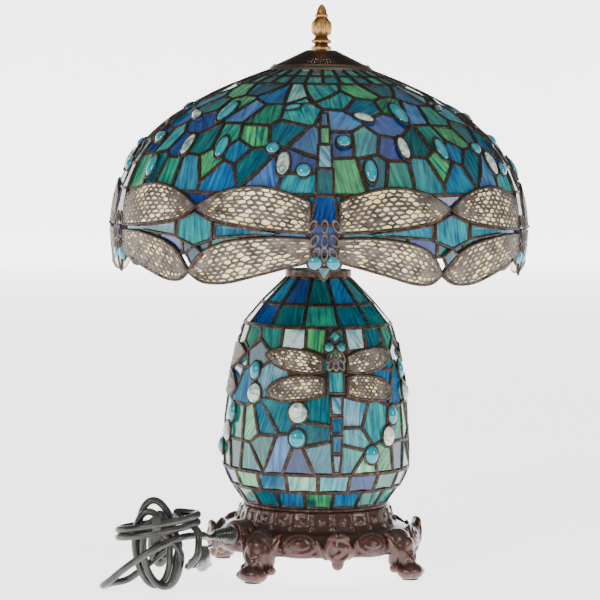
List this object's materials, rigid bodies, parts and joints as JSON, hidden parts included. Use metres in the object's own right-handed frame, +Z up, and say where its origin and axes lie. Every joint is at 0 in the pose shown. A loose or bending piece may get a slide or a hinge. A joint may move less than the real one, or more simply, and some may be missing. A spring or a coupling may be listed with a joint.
{
  "type": "table lamp",
  "caption": "Leaded-glass table lamp with a dragonfly dome shade, a lit pot body on a cast footed base, and a bundled mains cord.",
  "frame": {"origin": "on the floor under the lamp's vertical axis", "axes": "+Z up along the centre rod, -Y towards the front rosette of the base, +X to the right seen from the front"},
  "size_m": [0.4235, 0.4146, 0.567],
  "materials": {
    "felt_pad": "matt",
    "cast_bronze": "red-brown bronze paint with copper wear on the edges",
    "plated_steel": "zinc plated",
    "lead_came": "dark patina over soldered lead",
    "art_glass": "streaky blue, teal and green art glass",
    "filigree_wing": "cream glass under a dark pierced metal net",
    "glass_jewel": "polished turquoise and clear cabochons",
    "brass": "satin",
    "bakelite": "gloss",
    "bulb_glass": "opal",
    "cord_pvc": "satin PVC",
    "dark_bronze": "dark bronze",
    "tinned_ring": "tinned solder",
    "antique_brass": "antique, dark in the hollows",
    "tie_plastic": "satin",
    "switch_plastic": "gloss",
    "plug_plastic": "satin"
  },
  "bodies": {
    "root": {"foot_pads": "felt_pad", "base_casting": "cast_bronze", "base_plate": "plated_steel", "base_screws": "plated_steel", "rod_nut": "plated_steel", "pot_seat": "lead_came", "pot_glass": "art_glass", "pot_came": "lead_came", "pot_wings": "filigree_wing", "pot_jewels": "glass_jewel", "pot_collar": "lead_came", "centre_rod": "brass", "collar_nut": "brass", "stem_tube": "brass", "base_bracket": "plated_steel", "base_socket": "bakelite", "supply_lead": "cord_pvc", "cluster_body": "brass", "cluster_arms": "brass", "socket_left": "bakelite", "socket_right": "bakelite", "shade_nut": "brass", "strain_relief": "cord_pvc", "cord_run": "cord_pvc", "cord_hank": "cord_pvc", "cord_tie": "tie_plastic", "switch_housing": "switch_plastic", "plug_body": "plug_plastic", "plug_pins": "plated_steel"},
    "shade": {"shade_cap": "dark_bronze", "shade_ring": "tinned_ring", "shade_glass": "art_glass", "shade_came": "lead_came", "shade_wings": "filigree_wing", "shade_jewels": "glass_jewel", "rim_wire": "lead_came"},
    "finial": {"finial": "antique_brass"},
    "bulb_left": {"bulb_left": "bulb_glass"},
    "bulb_right": {"bulb_right": "bulb_glass"},
    "base_bulb": {"base_bulb": "bulb_glass"},
    "rocker": {"switch_rocker": "switch_plastic"}
  },
  "joints": [
    {"name": "shade_lift", "type": "slide", "parent": "root", "child": "shade", "axis": [0, 0, 1], "range_m": [0, 0.25]},
    {"name": "finial_turn", "type": "hinge", "parent": "shade", "child": "finial", "pos_m": [0, 0, 0.53], "axis": [0, 0, 1], "continuous": true},
    {"name": "bulb_left_turn", "type": "hinge", "parent": "root", "child": "bulb_left", "pos_m": [-0.1, 0, 0.385], "axis": [-1, 0, 0], "continuous": true},
    {"name": "bulb_right_turn", "type": "hinge", "parent": "root", "child": "bulb_right", "pos_m": [0.1, 0, 0.385], "axis": [1, 0, 0], "continuous": true},
    {"name": "base_bulb_turn", "type": "hinge", "parent": "root", "child": "base_bulb", "pos_m": [0.036, 0, 0.15], "axis": [0, 0, 1], "continuous": true},
    {"name": "rocker_tilt", "type": "hinge", "parent": "root", "child": "rocker", "pos_m": [-0.16928, -0.06592, 0.044], "axis": [0.9763, -0.2164, 0], "range_deg": [0, 14]}
  ]
}
